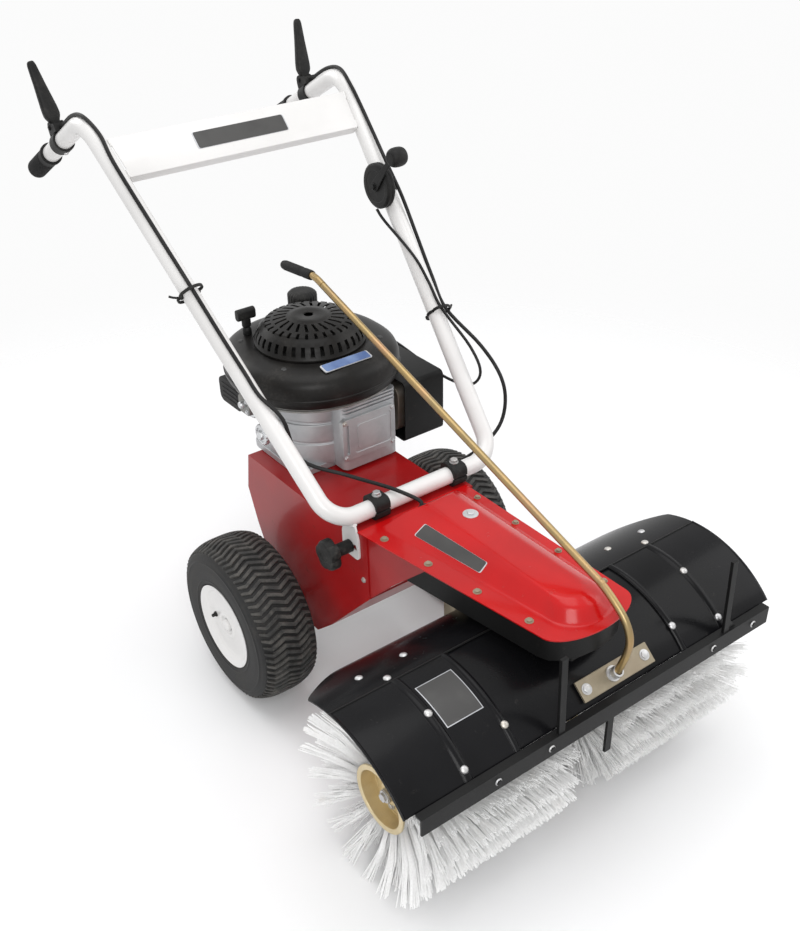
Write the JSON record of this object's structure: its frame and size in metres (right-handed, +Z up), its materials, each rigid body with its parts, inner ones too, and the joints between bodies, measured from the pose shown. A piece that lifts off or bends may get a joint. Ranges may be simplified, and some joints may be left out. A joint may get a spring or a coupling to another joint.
{
  "type": "sweeping machine",
  "caption": "Walk-behind powered sweeper: petrol engine on a two-wheel frame, belt-driven brush under a curved hood, bent tube handlebar with levers.",
  "frame": {"origin": "on the ground, in the middle of the machine's bounding box", "axes": "+X towards the operator's left, +Y from the brush towards the handles, +Z up"},
  "size_m": [0.8, 1.3727, 1.1055],
  "materials": {
    "red_paint": "gloss red paint",
    "white_paint": "gloss white powder coat",
    "black_paint": "gloss black powder coat",
    "black_plastic": "moulded black plastic",
    "tyre": "black tyre rubber",
    "belt_rubber": "fabric-covered belt rubber",
    "cast_aluminium": "die-cast, painted silver grey",
    "zinc_plating": "yellow zinc plating",
    "bare_steel": "machined steel",
    "bristle": "off-white plastic bristle"
  },
  "bodies": {
    "chassis": {"chassis_frame": "red_paint", "belt_tray": "black_paint", "nose_cover": "red_paint", "crossbar_clamp_right": "black_plastic", "crossbar_clamp_left": "black_plastic", "engine_crankcase": "cast_aluminium", "fan_shroud": "black_plastic", "starter_housing": "black_plastic", "air_cleaner": "black_plastic", "carburettor": "cast_aluminium", "muffler": "bare_steel", "muffler_guard": "black_paint", "gearbox_case": "cast_aluminium", "drive_belt": "belt_rubber"},
    "axle": {"wheel_axle": "bare_steel"},
    "wheel_right": {"rim_right": "white_paint", "tyre_right": "tyre"},
    "wheel_left": {"rim_left": "white_paint", "tyre_left": "tyre"},
    "crank": {"crank_pulley": "bare_steel"},
    "head": {"swivel_yoke": "black_paint", "rear_post": "zinc_plating", "gear_case": "cast_aluminium", "hood_centre": "black_paint", "hood_right": "black_paint", "hood_left": "black_paint", "hood_rear_panel": "black_paint", "front_rail": "black_paint", "rod_plate": "zinc_plating", "swivel_rod": "zinc_plating", "swivel_rod_grip": "black_plastic"},
    "pinion": {"driven_pulley": "bare_steel", "pinion_shaft": "bare_steel"},
    "brush": {"brush_shaft": "bare_steel", "crown_gear": "bare_steel", "brush_core_right": "zinc_plating", "brush_core_left": "zinc_plating", "bristles_right": "bristle", "bristles_left": "bristle"},
    "idler_lever": {"idler_arm": "bare_steel"},
    "idler_wheel": {"idler_pulley": "bare_steel"},
    "handlebar": {"handlebar_tube": "white_paint", "handlebar_panel": "white_paint", "grip_right": "black_plastic", "grip_left": "black_plastic", "lever_clamp_right": "black_plastic", "lever_clamp_left": "black_plastic", "throttle_body": "black_plastic", "brush_cable": "black_plastic", "drive_cable": "black_plastic", "throttle_cable": "black_plastic", "cable_tie_right": "black_plastic", "cable_tie_left": "black_plastic"},
    "lever_right": {"hand_lever_right": "black_plastic"},
    "lever_left": {"hand_lever_left": "black_plastic"},
    "throttle": {"throttle_lever": "black_plastic"},
    "star_knob": {"star_knob": "black_plastic"},
    "fuel_cap": {"fuel_cap": "black_plastic"},
    "oil_cap": {"oil_cap": "bare_steel"},
    "starter_handle": {"starter_handle": "black_plastic"}
  },
  "joints": [
    {"name": "axle_spin", "type": "hinge", "parent": "chassis", "child": "axle", "pos_m": [0, 0.03911, 0.165], "axis": [1, 0, 0], "continuous": true},
    {"name": "wheel_right_spin", "type": "hinge", "parent": "axle", "child": "wheel_right", "pos_m": [-0.2475, 0.03911, 0.165], "axis": [1, 0, 0], "continuous": true},
    {"name": "wheel_left_spin", "type": "hinge", "parent": "axle", "child": "wheel_left", "pos_m": [0.2475, 0.03911, 0.165], "axis": [1, 0, 0], "continuous": true},
    {"name": "crank_spin", "type": "hinge", "parent": "chassis", "child": "crank", "pos_m": [-0.012, 0.12411, 0.41], "axis": [0, 0, 1], "continuous": true},
    {"name": "head_swivel", "type": "hinge", "parent": "chassis", "child": "head", "pos_m": [0, -0.50479, 0.39], "axis": [0, 0, 1], "range_deg": [-15, 15]},
    {"name": "pinion_spin", "type": "hinge", "parent": "head", "child": "pinion", "pos_m": [0, -0.50479, 0.41], "axis": [0, 0, 1], "continuous": true},
    {"name": "brush_spin", "type": "hinge", "parent": "head", "child": "brush", "pos_m": [0, -0.50479, 0.1726], "axis": [1, 0, 0], "continuous": true},
    {"name": "idler_swing", "type": "hinge", "parent": "chassis", "child": "idler_lever", "pos_m": [-0.1, -0.36089, 0.42], "axis": [0, 0, -1], "range_deg": [0, 6.5]},
    {"name": "idler_spin", "type": "hinge", "parent": "idler_lever", "child": "idler_wheel", "pos_m": [-0.08437, -0.30589, 0.411], "axis": [0, 0, 1], "continuous": true},
    {"name": "handlebar_tilt", "type": "hinge", "parent": "chassis", "child": "handlebar", "pos_m": [0, -0.17849, 0.4655], "axis": [1, 0, 0], "range_deg": [-6, 12], "deforming": ["brush_cable", "drive_cable", "throttle_cable"]},
    {"name": "lever_right_pull", "type": "hinge", "parent": "handlebar", "child": "lever_right", "pos_m": [-0.266, 0.52719, 0.99638], "axis": [-1, 0, 0], "range_deg": [0, 80], "stiffness_Nm_per_rad": 0.3, "springref_deg": -17.19},
    {"name": "lever_left_pull", "type": "hinge", "parent": "handlebar", "child": "lever_left", "pos_m": [0.266, 0.52719, 0.99638], "axis": [-1, 0, 0], "range_deg": [0, 80], "stiffness_Nm_per_rad": 0.3, "springref_deg": -17.19},
    {"name": "throttle_turn", "type": "hinge", "parent": "handlebar", "child": "throttle", "pos_m": [0.2017, 0.20023, 0.87115], "axis": [-1, 0, 0], "range_deg": [0, 60]},
    {"name": "star_knob_turn", "type": "hinge", "parent": "chassis", "child": "star_knob", "pos_m": [-0.142, -0.17849, 0.408], "axis": [-1, 0, 0], "range_deg": [0, 360]},
    {"name": "fuel_cap_turn", "type": "hinge", "parent": "chassis", "child": "fuel_cap", "pos_m": [0.05, 0.24411, 0.665], "axis": [0, 0, 1], "range_deg": [0, 90]},
    {"name": "oil_cap_turn", "type": "hinge", "parent": "chassis", "child": "oil_cap", "pos_m": [-0.12889, 0.13311, 0.484], "axis": [-1, 0, 0], "range_deg": [0, 360]},
    {"name": "starter_pull", "type": "slide", "parent": "chassis", "child": "starter_handle", "axis": [0, 0.8, 0.6], "range_m": [0, 0.5], "stiffness_N_per_m": 6, "springref_m": -0.15}
  ],
  "couplings": [
    {"joint": "pinion_spin", "follows": "brush_spin", "ratio": -2.5},
    {"joint": "crank_spin", "follows": "brush_spin", "ratio": -3.375},
    {"joint": "axle_spin", "follows": "brush_spin", "ratio": -0.084375},
    {"joint": "idler_swing", "follows": "lever_right_pull", "ratio": 0.08}
  ]
}
